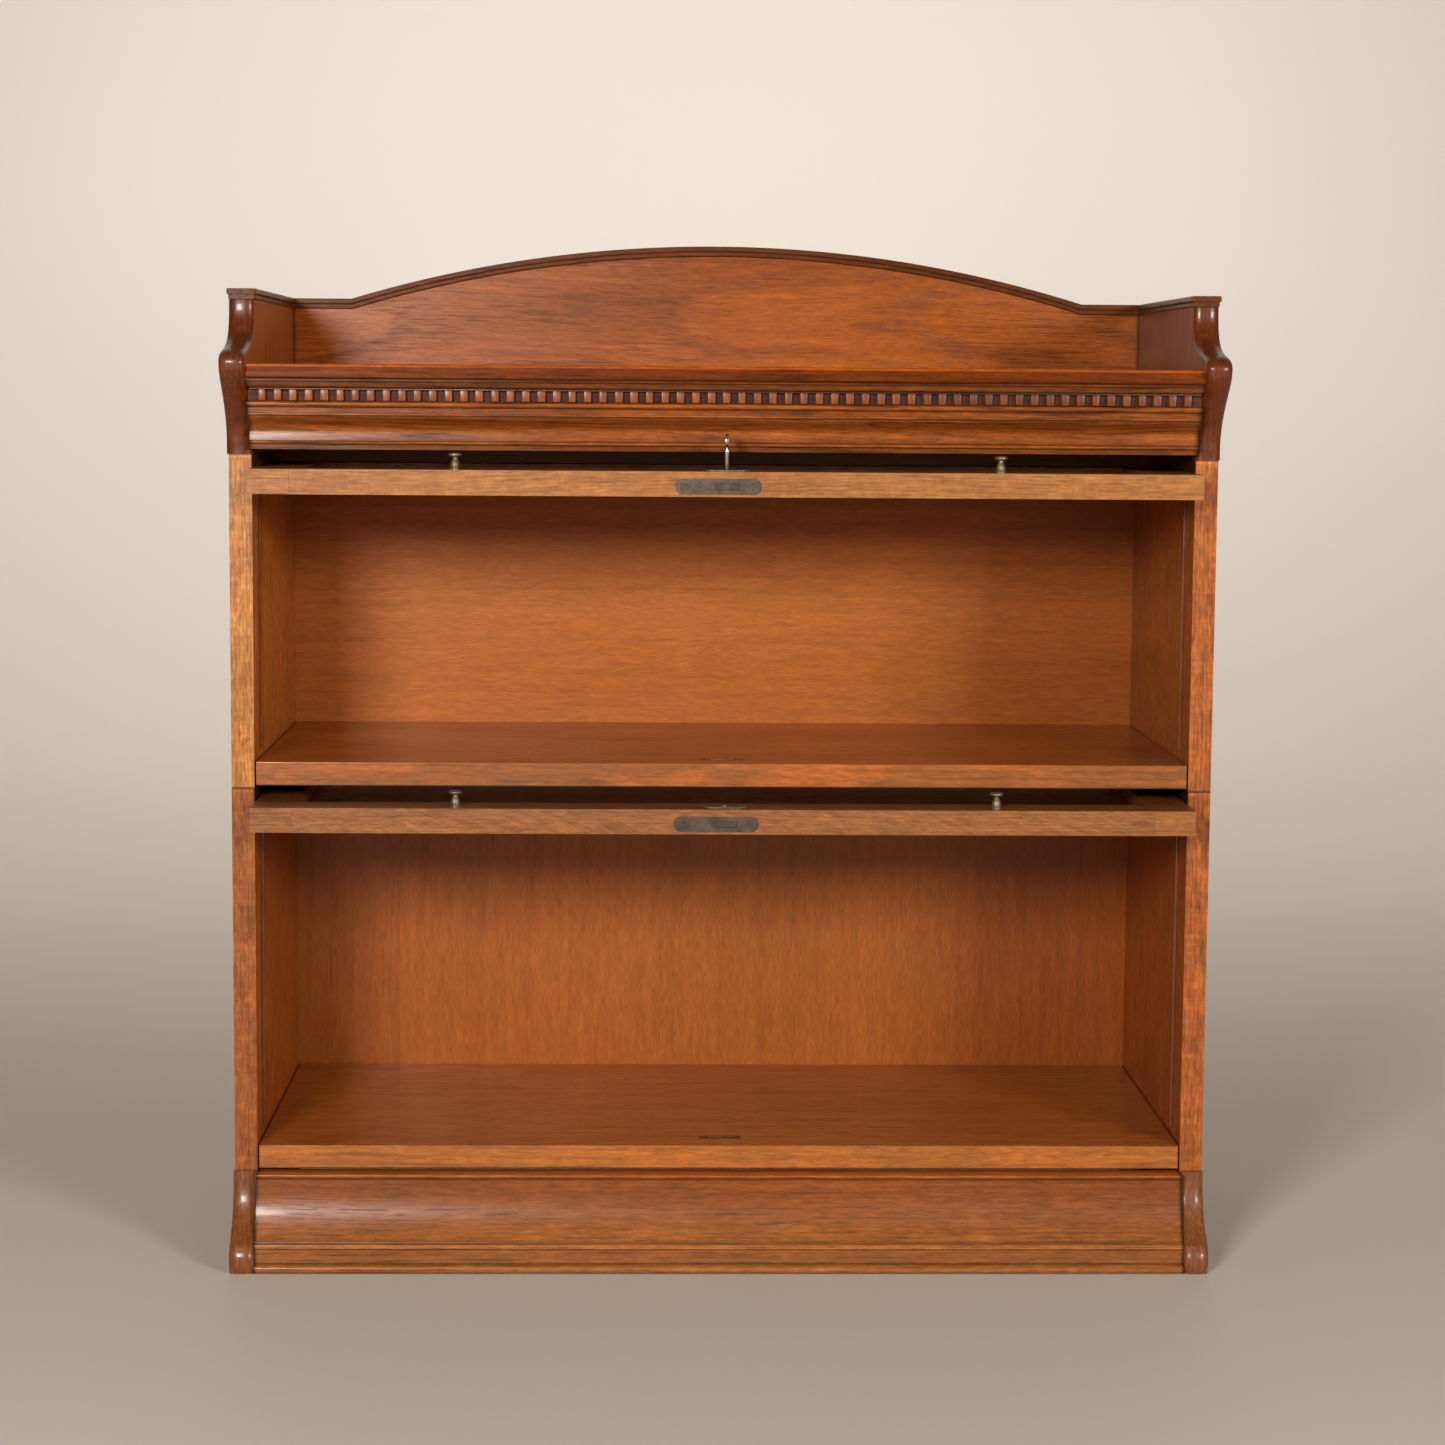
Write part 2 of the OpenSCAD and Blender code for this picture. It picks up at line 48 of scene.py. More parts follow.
sl, sl2, bl = B("s1_side_left"), B("s2_side_left"), B("top_bracket_left")
HI = -sl[1].x                     # inner half width of the case
HW = -sl[0].x                     # outer half width
BX = -bl[0].x                     # outer half width of the brackets
Y0, Y1 = sl[0].y, sl[1].y         # case front and back
Z1, Z2, Z3 = sl[0].z, sl2[0].z, bl[0].z
ZT = B("top_board")[1].z
ZC = B("gallery_cap_left")[1].z
mm = 0.001

# ------------------------------------------------------------------ mesh helpers
def obj_from(name, verts, faces, smooth_deg=38, body="root", mat=None, merge=True):
    me = bpy.data.meshes.new(name)
    me.from_pydata([tuple(v) for v in verts], [], faces)
    ob = bpy.data.objects.new(name, me)
    scene.collection.objects.link(ob)
    bm = bmesh.new()
    bm.from_mesh(me)
    if merge:
        bmesh.ops.remove_doubles(bm, verts=bm.verts, dist=1e-6)
    bmesh.ops.recalc_face_normals(bm, faces=bm.faces)
    finish_bm(bm, me, smooth_deg)
    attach(ob, body)
    if mat:
        me.materials.append(mat)
    return ob

def finish_bm(bm, me, smooth_deg):
    lim = math.radians(smooth_deg)
    for f in bm.faces:
        f.smooth = True
    for e in bm.edges:
        if len(e.link_faces) == 2:
            e.smooth = e.calc_face_angle(0) < lim
        else:
            e.smooth = False
    bm.to_mesh(me)
    bm.free()
    me.update()

def bez(a, b, c, d, u):
    return a * (1 - u) ** 3 + 3 * b * u * (1 - u) ** 2 + 3 * c * u * u * (1 - u) + d * u ** 3

def curve(a, b, c, d, n=20):
    return [(bez(a[0], b[0], c[0], d[0], i / n), bez(a[1], b[1], c[1], d[1], i / n)) for i in range(n + 1)]

def arc(c, r, a0, a1, n=12):
    return [(c[0] + r * math.cos(math.radians(a0 + (a1 - a0) * i / n)), c[1] + r * math.sin(math.radians(a0 + (a1 - a0) * i / n))) for i in range(n + 1)]

def ess(p, q, n=24):
    return [(p[0] + (q[0] - p[0]) * (1 - math.cos(math.pi * i / n)) / 2, p[1] + (q[1] - p[1]) * i / n) for i in range(n + 1)]

def clean(pts):
    out = []
    for p in pts:
        if not out or (abs(p[0] - out[-1][0]) + abs(p[1] - out[-1][1])) > 1e-4:
            out.append(p)
    if abs(out[0][0] - out[-1][0]) + abs(out[0][1] - out[-1][1]) < 1e-4:
        out.pop()
    return out

def prism_x(name, x0, x1, pts, mat, cuts=1, bevel=None, bevel_pred=None, smooth=38, body="root"):
    """Prism along X of an outline in mm: Y behind the case front, Z absolute in mm."""
    pts = clean(pts)
    bm = bmesh.new()
    rows = []
    for k in range(cuts + 1):
        x = x0 + (x1 - x0) * k / cuts
        rows.append([bm.verts.new((x, Y0 + p[0] * mm, p[1] * mm)) for p in pts])
    n = len(pts)
    for k in range(cuts):
        for i in range(n):
            j = (i + 1) % n
            bm.faces.new((rows[k][i], rows[k][j], rows[k + 1][j], rows[k + 1][i]))
    bm.faces.new(rows[0][::-1])
    bm.faces.new(rows[-1])
    bmesh.ops.recalc_face_normals(bm, faces=bm.faces)
    if bevel:
        es = [e for e in bm.edges if len(e.link_faces) == 2 and e.calc_face_angle(0) > math.radians(50) and bevel_pred(e)]
        bmesh.ops.bevel(bm, geom=es, offset=bevel, segments=5, profile=0.5, affect="EDGES", clamp_overlap=True)
    me = bpy.data.meshes.new(name)
    ob = bpy.data.objects.new(name, me)
    scene.collection.objects.link(ob)
    finish_bm(bm, me, smooth)
    me.materials.append(mat)
    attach(ob, body)
    return ob

def bull_x(name, x0, x1, front, back, mat, a=9.0, b=4.5, cols=9, smooth=42, body="root"):
    """A bracket along X: the open front outline is drawn in towards both sides by an ellipse, so its edge is a soft nose."""
    front = clean(front)
    n = len(front)
    nor = []
    for i in range(n):
        p, q = front[max(i - 1, 0)], front[min(i + 1, n - 1)]
        dy, dz_ = q[0] - p[0], q[1] - p[1]
        L = math.hypot(dy, dz_) or 1.0
        nor.append((-dz_ / L, dy / L))
    cy = sum(p[0] for p in back) / len(back)
    # inward is the side the back outline lies on
    if sum((cy - p[0]) * q[0] for p, q in zip(front, nor)) < 0:
        nor = [(-q[0], -q[1]) for q in nor]
    w = (x1 - x0) / mm
    xs = []
    for k in range(cols + 1):
        u = math.pi / 2 * k / cols
        xs.append((a * (1 - math.cos(u)), b * (1 - math.sin(u))))
    xs = xs + [(w - x, e) for x, e in xs[::-1]]
    bm = bmesh.new()
    rows = []
    for x, e in xs:
        out = []
        for i, (p, q) in enumerate(zip(front, nor)):
            k = e
            out.append((p[0] + q[0] * k, p[1] if i in (0, n - 1) else p[1] + q[1] * k))
        out += back
        rows.append([bm.verts.new((x0 + x * mm, Y0 + p[0] * mm, p[1] * mm)) for p in out])
    m = len(rows[0])
    for k in range(len(rows) - 1):
        for i in range(m):
            j = (i + 1) % m
            bm.faces.new((rows[k][i], rows[k][j], rows[k + 1][j], rows[k + 1][i]))
    bm.faces.new(rows[0][::-1])
    bm.faces.new(rows[-1])
    bmesh.ops.recalc_face_normals(bm, faces=bm.faces)
    me = bpy.data.meshes.new(name)
    ob = bpy.data.objects.new(name, me)
    scene.collection.objects.link(ob)
    finish_bm(bm, me, smooth)
    me.materials.append(mat)
    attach(ob, body)
    return ob

# ------------------------------------------------------------------ node helpers
class T:
    """Small wrapper over a node tree."""
    def __init__(self, name):
        self.mat = bpy.data.materials.new(name)
        self.mat.use_nodes = True
        self.nt = self.mat.node_tree
        self.nt.nodes.clear()
        self.out = self.nt.nodes.new("ShaderNodeOutputMaterial")
        self.b = self.nt.nodes.new("ShaderNodeBsdfPrincipled")
        self.nt.links.new(self.b.outputs[0], self.out.inputs[0])

    def n(self, kind, **kw):
        x = self.nt.nodes.new(kind)
        for k, v in kw.items():
            setattr(x, k, v)
        return x

    def put(self, sock, v):
        if isinstance(v, bpy.types.NodeSocket):
            self.nt.links.new(v, sock)
        else:
            sock.default_value = v

    def math(self, op, a, b=0.0, c=None, clamp=False):
        x = self.n("ShaderNodeMath", operation=op, use_clamp=clamp)
        self.put(x.inputs[0], a)
        self.put(x.inputs[1], b)
        if c is not None:
            self.put(x.inputs[2], c)
        return x.outputs[0]

    def vmath(self, op, a, b=None, s=None):
        x = self.n("ShaderNodeVectorMath", operation=op)
        self.put(x.inputs[0], a)
        if b is not None:
            self.put(x.inputs[1], b)
        if s is not None:
            self.put(x.inputs[3], s)
        return x.outputs[0] if op not in ("LENGTH", "DISTANCE", "DOT_PRODUCT") else x.outputs[1]

    def noise(self, vec, scale=1.0, detail=2.0, rough=0.5, dist=0.0, out=0):
        x = self.n("ShaderNodeTexNoise")
        self.put(x.inputs["Vector"], vec)
        x.inputs["Scale"].default_value = scale
        x.inputs["Detail"].default_value = detail
        x.inputs["Roughness"].default_value = rough
        x.inputs["Distortion"].default_value = dist
        return x.outputs[out]

    def ramp(self, fac, stops, interp="LINEAR"):
        x = self.n("ShaderNodeValToRGB")
        x.color_ramp.interpolation = interp
        cr = x.color_ramp
        while len(cr.elements) > 1:
            cr.elements.remove(cr.elements[-1])
        for i, (p, c) in enumerate(stops):
            e = cr.elements[0] if i == 0 else cr.elements.new(p)
            e.position = p
            e.color = (c, c, c, 1) if isinstance(c, (int, float)) else (*c, 1)
        self.put(x.inputs[0], fac)
        return x.outputs[0]

    def mix(self, fac, a, b, kind="MIX"):
        x = self.n("ShaderNodeMix", data_type="RGBA", blend_type=kind)
        self.put(x.inputs[0], fac)
        for s, v in ((x.inputs[6], a), (x.inputs[7], b)):
            self.put(s, v if isinstance(v, bpy.types.NodeSocket) else (*v[:3], 1))
        return x.outputs[2]

    def maprange(self, v, a, b, c, d, clamp=True):
        x = self.n("ShaderNodeMapRange", clamp=clamp)
        self.put(x.inputs[0], v)
        for i, q in enumerate((a, b, c, d)):
            x.inputs[i + 1].default_value = q
        return x.outputs[0]

def srgb(r, g, b):
    f = lambda c: ((c / 255 + 0.055) / 1.055) ** 2.4 if c > 10 else c / 255 / 12.92
    return (f(r), f(g), f(b))

def oak(name, axis, seed, mid, dark, light, pore=0.55, ring=0.45, pitch=4.5, pith=(0.07, 0.0), drift=0.02,
        streak=0.6, mottle=0.25, fleck=0.0, fleck_tilt=0.0, blotch=0.22, rough=(0.3, 0.42), coat=0.3, coat_rough=0.12,
        bands=None, band_axis=2, bump=0.25, spec=0.5, edge=None, patch=0.0, pore_scale=1.0, dash=0.0, dash_scale=1.0, side_tint=None, grain=0.26, inner=None, band_face=None, corner_shade=None, painted_shade_x=None):
    """Oak board. axis is the grain direction, pitch the ring spacing in mm, pith the offset of the tree's centre in m."""
    t = T(name)
    tc = t.n("ShaderNodeTexCoord").outputs["Object"]
    sep = t.n("ShaderNodeSeparateXYZ")
    t.put(sep.inputs[0], tc)
    X, Y, Z = sep.outputs
    a, b, g = {"X": (Y, Z, X), "Y": (X, Z, Y), "Z": (Y, X, Z)}[axis]
    comb = t.n("ShaderNodeCombineXYZ")
    for s, v in zip(comb.inputs, (a, b, g)):
        t.put(s, v)
    P0 = comb.outputs[0]
    P = t.vmath("ADD", P0, (0.37 * seed, 0.53 * seed, 0.91 * seed))
    def S(vec, x, y, z):
        return t.vmath("MULTIPLY", vec, (x, y, z))
    # slow wander of the grain along the board
    w1 = t.vmath("SCALE", t.vmath("SUBTRACT", t.noise(S(P, 2.2, 2.2, 1.1), 1, 2, 0.5, out=1), (0.5, 0.5, 0.5)), s=drift * 2)
    w2 = t.vmath("SCALE", t.vmath("SUBTRACT", t.noise(S(P, 22, 22, 7), 1, 2, 0.5, out=1), (0.5, 0.5, 0.5)), s=0.0035)
    Q = t.vmath("MULTIPLY", t.vmath("ADD", t.vmath("ADD", P0, w1), w2), (1, 1, 0.0))
    Pw = t.vmath("ADD", t.vmath("ADD", P, w1), w2)
    # growth rings: saw profile, dark where the coarse early wood lies
    r = t.vmath("LENGTH", t.vmath("ADD", Q, (pith[0], pith[1], 0)))
    saw = t.math("FRACT", t.math("MULTIPLY", r, 1000.0 / pitch))
    early = t.ramp(saw, [(0.0, 1.0), (0.18, 0.75), (0.42, 0.12), (0.9, 0.0), (1.0, 1.0)])
    ringmask = t.math("MULTIPLY", early, t.maprange(t.noise(S(Pw, 30, 30, 2.5), 1, 3, 0.6), 0.38, 0.66, 0.15, 1.0))
    # coarse streaks and fine pores
    st = t.noise(S(Pw, 75, 75, 2.6), 1, 5, 0.62)
    stk = t.maprange(st, 0.33, 0.67, 0.0, 1.0)
    k = pore_scale
    po = t.noise(S(Pw, 520 * k, 520 * k, 26 * k), 1, 3, 0.6)
    po2 = t.noise(S(Pw, 260 * k, 260 * k, 11 * k), 1, 3, 0.62)
    pores = t.math("ADD", t.maprange(po, 0.53, 0.66, 0.0, 0.8), t.maprange(po2, 0.55, 0.68, 0.0, 0.8), clamp=True)
    pores = t.math("MULTIPLY", pores, t.math("MULTIPLY_ADD", early, 0.65, 0.35))
    mo = t.noise(S(Pw, 95, 95, 38), 1, 3, 0.6)
    bl_ = t.noise(S(P, 3.2, 3.2, 1.9), 1, 3, 0.55)
    col = t.mix(t.math("MULTIPLY", stk, streak), mid, light)
    col = t.mix(t.math("MULTIPLY", t.maprange(mo, 0.42, 0.68, 0, 1), mottle), col, light)
    if fleck:
        # ray figure of quarter-sawn oak: thin lighter flakes that cross the grain
        ft = math.tan(math.radians(fleck_tilt))
        cb = t.n("ShaderNodeCombineXYZ")
        sp = t.n("ShaderNodeSeparateXYZ")
        t.put(sp.inputs[0], Pw)
        t.put(cb.inputs[0], sp.outputs[0])
        t.put(cb.inputs[1], sp.outputs[1])
        t.put(cb.inputs[2], t.math("MULTIPLY_ADD", sp.outputs[1], ft, sp.outputs[2]))
        fl = t.noise(S(cb.outputs[0], 60, 45, 170), 1, 3, 0.55)
        col = t.mix(t.math("MULTIPLY", t.maprange(fl, 0.5, 0.62, 0, 1), fleck), col, light)
    col = t.mix(t.math("MULTIPLY", ringmask, ring), col, dark)
    col = t.mix(t.math("MULTIPLY", pores, pore), col, tuple(0.55 * c for c in dark))
    col = t.mix(1.0, col, t.ramp(bl_, [(0.25, 1 - blotch), (0.5, 1.0), (0.78, 1 + blotch * 0.75)]), "MULTIPLY")
    if dash:
        # long dark veins in the coarse wood
        dn = t.noise(S(Pw, 300 * dash_scale, 300 * dash_scale, 11), 1, 4, 0.6)
        dn2 = t.noise(S(Pw, 130 * dash_scale, 130 * dash_scale, 6), 1, 4, 0.62)
        dd = t.math("ADD", t.maprange(dn, 0.545, 0.62, 0, 1), t.maprange(dn2, 0.585, 0.64, 0, 0.8), clamp=True)
        dm = t.math("MULTIPLY", dd, t.maprange(t.noise(S(P, 16, 16, 4), 1, 3, 0.55), 0.40, 0.60, 0.12, 1))
        col = t.mix(t.math("MULTIPLY", dm, dash), col, tuple(0.4 * c for c in dark))
    if grain:
        # fine speckle of the open pores, and a slower unevenness of the stain
        g1 = t.noise(S(Pw, 460, 460, 90), 1, 3, 0.65)
        g2 = t.noise(S(Pw, 150, 150, 26), 1, 3, 0.6)
        col = t.mix(1.0, col, t.ramp(g1, [(0.32, 1 - grain), (0.5, 1.0), (0.68, 1 + grain)]), "MULTIPLY")
        col = t.mix(1.0, col, t.ramp(g2, [(0.3, 1 - 0.6 * grain), (0.5, 1.0), (0.7, 1 + 0.6 * grain)]), "MULTIPLY")
    if inner:
        # painted shade on the inner face of a side above the open door's line, where the door pocket lies in shadow
        z_in, f_in = inner
        m1 = t.maprange(t.math("ABSOLUTE", X), HI + 0.0012, HI + 0.0002, 0, 1)
        m2 = t.maprange(Z, z_in - 0.006, z_in, 0, 1)
        col = t.mix(t.math("MULTIPLY", m1, m2), col, t.mix(1.0, col, (f_in, f_in, f_in), "MULTIPLY"))
    if side_tint:
        # the flat sides keep the paler, warmer tone of the case
        nn = t.n("ShaderNodeSeparateXYZ")
        t.put(nn.inputs[0], t.n("ShaderNodeTexCoord").outputs["Normal"])
        col = t.mix(t.maprange(t.math("ABSOLUTE", nn.outputs[0]), 0.9, 0.99, 0, 1), col, t.mix(1.0, col, side_tint, "MULTIPLY"))
    if edge:
        # the board's front face: its own tone, with patches of end figure
        y_front, tint = edge
        m = t.maprange(Y, y_front + 0.0016, y_front + 0.0006, 0, 1)
        fc = t.mix(1.0, col, tint, "MULTIPLY")
        if patch:
            pn = t.noise(t.vmath("MULTIPLY", P, (38, 38, 9) if axis == "X" else (9, 9, 30)), 1, 2, 0.5)
            fc = t.mix(t.math("MULTIPLY", t.maprange(pn, 0.52, 0.6, 0, 1), patch), fc, t.mix(1.0, fc, (1.55, 1.3, 1.1), "MULTIPLY"))
        col = t.mix(m, col, fc)
    if bands:
        # painted shade and painted highlights across a moulding, at fixed heights on the piece: shade in hollows,
        # beneath overhangs and in unlit strips, highlights on arrises, with some worn arrises and dark joint lines:
        # (mm, factor)
        lo, hi = bands[0][0], bands[-1][0]
        src = (X, Y, Z)[band_axis]
        pos = t.maprange(src, lo * mm, hi * mm, 0, 1)
        stops = [((z - lo) / (hi - lo), f) for z, f in bands]
        shade = ramp_any(t, pos, stops)
        if band_face is not None:
            # on the front face only
            shade = t.mix(t.maprange(Y, band_face + 0.003, band_face + 0.002, 0, 1), (1, 1, 1), shade)
        col = t.mix(1.0, col, shade, "MULTIPLY")
    if painted_shade_x:
        # painted shade along the width: darker and warmer towards the right, a touch darker and bluer at the left
        lo, hi = painted_shade_x[0][0], painted_shade_x[-1][0]
        col = t.mix(1.0, col, t.ramp(t.maprange(X, lo * mm, hi * mm, 0, 1), [((x - lo) / (hi - lo), f) for x, f in painted_shade_x]), "MULTIPLY")
    if corner_shade:
        # painted shade in the corner where the piece butts against its neighbour
        x_e, w_e, f_e = corner_shade
        col = t.mix(t.maprange(t.math("ABSOLUTE", X), x_e - w_e, x_e - 0.2 * w_e, 0, 1), col, t.mix(1.0, col, (f_e, f_e, f_e), "MULTIPLY"))
    t.put(t.b.inputs["Base Color"], col)
    ro = t.noise(S(P, 9, 9, 5), 1, 3, 0.6)
    rr = t.maprange(ro, 0.3, 0.7, rough[0], rough[1])
    rr = t.math("MULTIPLY_ADD", pores, 0.16, rr)
    t.put(t.b.inputs["Roughness"], rr)
    t.b.inputs["Specular IOR Level"].default_value = spec
    t.b.inputs["Coat Weight"].default_value = coat
    t.b.inputs["Coat Roughness"].default_value = coat_rough
    bp = t.n("ShaderNodeBump")
    bp.inputs["Strength"].default_value = bump
    bp.inputs["Distance"].default_value = 0.0006
    hgt = t.math("SUBTRACT", t.math("MULTIPLY", t.noise(S(Pw, 60, 60, 3), 1, 3, 0.5), 0.5), t.math("MULTIPLY", pores, 0.55))
    hgt = t.math("ADD", hgt, t.math("MULTIPLY", t.noise(P, 14, 2, 0.5), 0.9))
    t.put(bp.inputs["Height"], hgt)
    t.put(t.b.inputs["Normal"], bp.outputs[0])
    return t.mat

def ramp_any(t, fac, stops):
    """A colour ramp holds 32 stops; long tables are split in two, and each half's ramp is used on its own side of the
    split.
    """
    if len(stops) <= 30:
        return t.ramp(fac, stops)
    h = len(stops) // 2
    a = stops[:h + 1] + [(1.0, 1.0)] if stops[h][0] < 1 else stops[:h + 1]
    return t.mix(t.math("GREATER_THAN", fac, stops[h][0]), t.ramp(fac, stops[:h + 1]), t.ramp(fac, stops[h:]))

# palettes (albedo)
C = {
    "side":   dict(mid=srgb(186, 118, 66), dark=srgb(120, 62, 28), light=srgb(214, 152, 92)),
    "rail":   dict(mid=srgb(190, 130, 80), dark=srgb(130, 78, 40), light=srgb(214, 160, 104)),
    "dark":   dict(mid=srgb(112, 60, 32), dark=srgb(62, 28, 14), light=srgb(138, 78, 44)),
    "mould":  dict(mid=srgb(158, 88, 42), dark=srgb(74, 34, 15), light=srgb(186, 110, 58)),
    "shelf":  dict(mid=srgb(140, 78, 40), dark=srgb(96, 48, 22), light=srgb(156, 92, 52)),
    "back":   dict(mid=srgb(190, 116, 66), dark=srgb(150, 84, 42), light=srgb(204, 132, 80)),
    "plain":  dict(mid=srgb(150, 104, 62), dark=srgb(100, 62, 34), light=srgb(176, 128, 82)),
}

def pal(name, r=1.0, g=1.0, b=1.0):
    return {k: (v[0] * r, v[1] * g, v[2] * b) for k, v in C[name].items()}

# ------------------------------------------------------------------ metals and glass
def metal(name, c1, c2, rough=(0.3, 0.5), metallic=1.0, scale=60, bump=0.1, grime=None, gscale=220):
    t = T(name)
    tc = t.n("ShaderNodeTexCoord").outputs["Object"]
    n1 = t.noise(tc, scale, 5, 0.6)
    n2 = t.noise(tc, gscale, 4, 0.65)
    col = t.mix(t.maprange(n1, 0.35, 0.65, 0, 1), c1, c2)
    if grime:
        col = t.mix(t.maprange(n2, 0.52, 0.7, 0, 0.8), col, grime)
    t.put(t.b.inputs["Base Color"], col)
    t.put(t.b.inputs["Roughness"], t.maprange(n2, 0.3, 0.7, rough[0], rough[1]))
    t.b.inputs["Metallic"].default_value = metallic
    bp = t.n("ShaderNodeBump")
    bp.inputs["Strength"].default_value = bump
    bp.inputs["Distance"].default_value = 0.0004
    t.put(bp.inputs["Height"], n2)
    t.put(t.b.inputs["Normal"], bp.outputs[0])
    return t.mat

M_brass = metal("brass_aged", srgb(150, 138, 108), srgb(112, 100, 76), (0.42, 0.58), 0.75, 130, 0.12, srgb(72, 56, 38), 420)
M_plate = metal("lock_steel_patina", srgb(104, 88, 76), srgb(74, 64, 58), (0.34, 0.55), 0.7, 90, 0.25, srgb(70, 48, 34), 260)
M_strike = metal("strike_brass", srgb(150, 118, 78), srgb(96, 70, 44), (0.3, 0.5), 0.8, 110, 0.2, srgb(60, 40, 26), 300)
M_bolt = metal("lock_bolt_dark", srgb(96, 81, 70), srgb(70, 60, 54), (0.4, 0.6), 0.6, 90, 0.25, srgb(56, 40, 30), 260)
M_key = metal("key_steel_worn", srgb(196, 188, 176), srgb(150, 142, 132), (0.22, 0.4), 1.0, 160, 0.1, srgb(92, 82, 70), 500)
M_iron = metal("iron_dull", srgb(52, 47, 43), srgb(38, 34, 31), (0.5, 0.7), 0.8, 60, 0.3, srgb(70, 46, 32), 150)

def glass_mat():
    t = T("glass_old")
    tc = t.n("ShaderNodeTexCoord").outputs["Object"]
    t.b.inputs["Base Color"].default_value = (0.96, 0.985, 0.97, 1)
    t.b.inputs["Transmission Weight"].default_value = 1.0
    t.b.inputs["IOR"].default_value = 1.5
    t.put(t.b.inputs["Roughness"], t.maprange(t.noise(tc, 7, 3, 0.6), 0.3, 0.7, 0.0, 0.035))
    bp = t.n("ShaderNodeBump")
    bp.inputs["Strength"].default_value = 0.03
    bp.inputs["Distance"].default_value = 0.002
    t.put(bp.inputs["Height"], t.noise(tc, 9, 1, 0.4))
    t.put(t.b.inputs["Normal"], bp.outputs[0])
    return t.mat
M_glass = glass_mat()

# ------------------------------------------------------------------ finish CAD nodes that keep their own shape
def give(node, mat, bevel=0.0008, seg=2, ang=30):
    o = N[node]
    o.data.materials.clear()
    o.data.materials.append(mat)
    for p in o.data.polygons:
        p.material_index = 0
    if bevel:
        w = o.modifiers.new("weld", "WELD")
        w.merge_threshold = 1e-5
        m = o.modifiers.new("bevel", "BEVEL")
        m.width = bevel
        m.segments = seg
        m.limit_method = "ANGLE"
        m.angle_limit = math.radians(ang)
        m.harden_normals = False

def dz(k, f):
    return (k, f)

YF = Y0
# dark joint lines at the bottom and top of a side, and a painted highlight (glint) on the arris just below the top
# joint
def joint_lines_and_glint(z0, z1):
    z0, z1 = z0 / mm, z1 / mm
    return [(z0, 0.12), (z0 + 0.9, 0.25), (z0 + 1.8, 1.0), (z1 - 3.0, 1.0), (z1 - 2.4, 1.5), (z1 - 1.3, 1.5), (z1 - 0.7, 0.3), (z1, 0.12)]

side_kw = dict(grain=0.38, mottle=0.6, fleck=0.75, pore=0.55, pore_scale=1.1, ring=0.22, streak=0.35, blotch=0.2, rough=(0.3, 0.42), coat=0.12, spec=0.35, patch=0.3)
# the inner= argument paints shade on each side's inner face above the open door's line, where the door pocket lies in
# shadow
M_sideL1 = oak("oak_side_l1", "Z", 3.1, **pal("side", .71, .42, .12), pitch=3.4, pith=(0.3, 0.1), bands=joint_lines_and_glint(Z1, Z2), edge=(YF, (.75, .8, 1.06)), inner=(Z2 - 0.026, 0.22), **side_kw)
M_sideR1 = oak("oak_side_r1", "Z", 4.7, **pal("side", .6, .31, .075), pitch=3.6, pith=(0.28, 0.1), bands=joint_lines_and_glint(Z1, Z2), edge=(YF, (1.04, 1.22, 2.28)), inner=(Z2 - 0.026, 0.22), **side_kw)
M_sideL2 = oak("oak_side_l2", "Z", 5.9, **pal("side", .92, .63, .25), pitch=3.2, pith=(0.32, 0.1), bands=joint_lines_and_glint(Z2, Z3), edge=(YF, (.86, 1.14, 1.84)), inner=(Z3 - 0.026, 0.22), **side_kw)
M_sideR2 = oak("oak_side_r2", "Z", 7.3, **pal("side", .68, .41, .13), pitch=3.5, pith=(0.3, 0.1), bands=joint_lines_and_glint(Z2, Z3), edge=(YF, (1.12, 1.15, 1.6)), inner=(Z3 - 0.026, 0.22), **side_kw)
give("s1_side_left", M_sideL1, 0.0012)
give("s1_side_right", M_sideR1, 0.0012)
give("s2_side_left", M_sideL2, 0.0012)
give("s2_side_right", M_sideR2, 0.0012)
# painted shade on the shelf's bottom face and the lowest strip of its front edge
def shelf_bottom_shade(node):
    z = B(node)[1].z / mm
    return [(z - 23, 0.14), (z - 20.4, 0.2), (z - 19.6, 1.0), (z + 3, 1.0)]
shelf_kw = dict(grain=0.24, pore=0.5, ring=0.3, streak=0.5, rough=(0.24, 0.34), coat=0.22, coat_rough=0.1, pore_scale=1.0, dash=0.3, spec=0.4)
ys = B("s1_shelf")[0].y
# the shelves carry painted shade on their bottom face
M_shelf1 = oak("oak_shelf_1", "X", 8.2, **pal("shelf", 1.62, 1.52, .74), pitch=7, pith=(0.0, 0.12), bands=shelf_bottom_shade("s1_shelf"), edge=(ys, (.94, 1.02, 1.01)), patch=0.35, **shelf_kw)
M_shelf2 = oak("oak_shelf_2", "X", 9.6, **pal("shelf", 1.48, 1.1, .36), pitch=6, pith=(0.0, 0.13), bands=shelf_bottom_shade("s2_shelf"), edge=(ys, (.89, 1.21, 2.45)), patch=0.75, **shelf_kw)
give("s1_shelf", M_shelf1, 0.0008)
give("s2_shelf", M_shelf2, 0.0008)
def back_top_shade(node):
    # painted shade: the strip of the back above the open door's line, darker and redder towards the top, where the open
    # door's shadow falls
    z = B(node)[1].z / mm
    return [(z - 140, 1.0), (z - 100, (0.97, 0.9, 0.78)), (z - 60, (0.9, 0.76, 0.52)), (z - 46, (0.68, 0.56, 0.4)), (z - 32, 0.28), (z - 20, 0.14)]
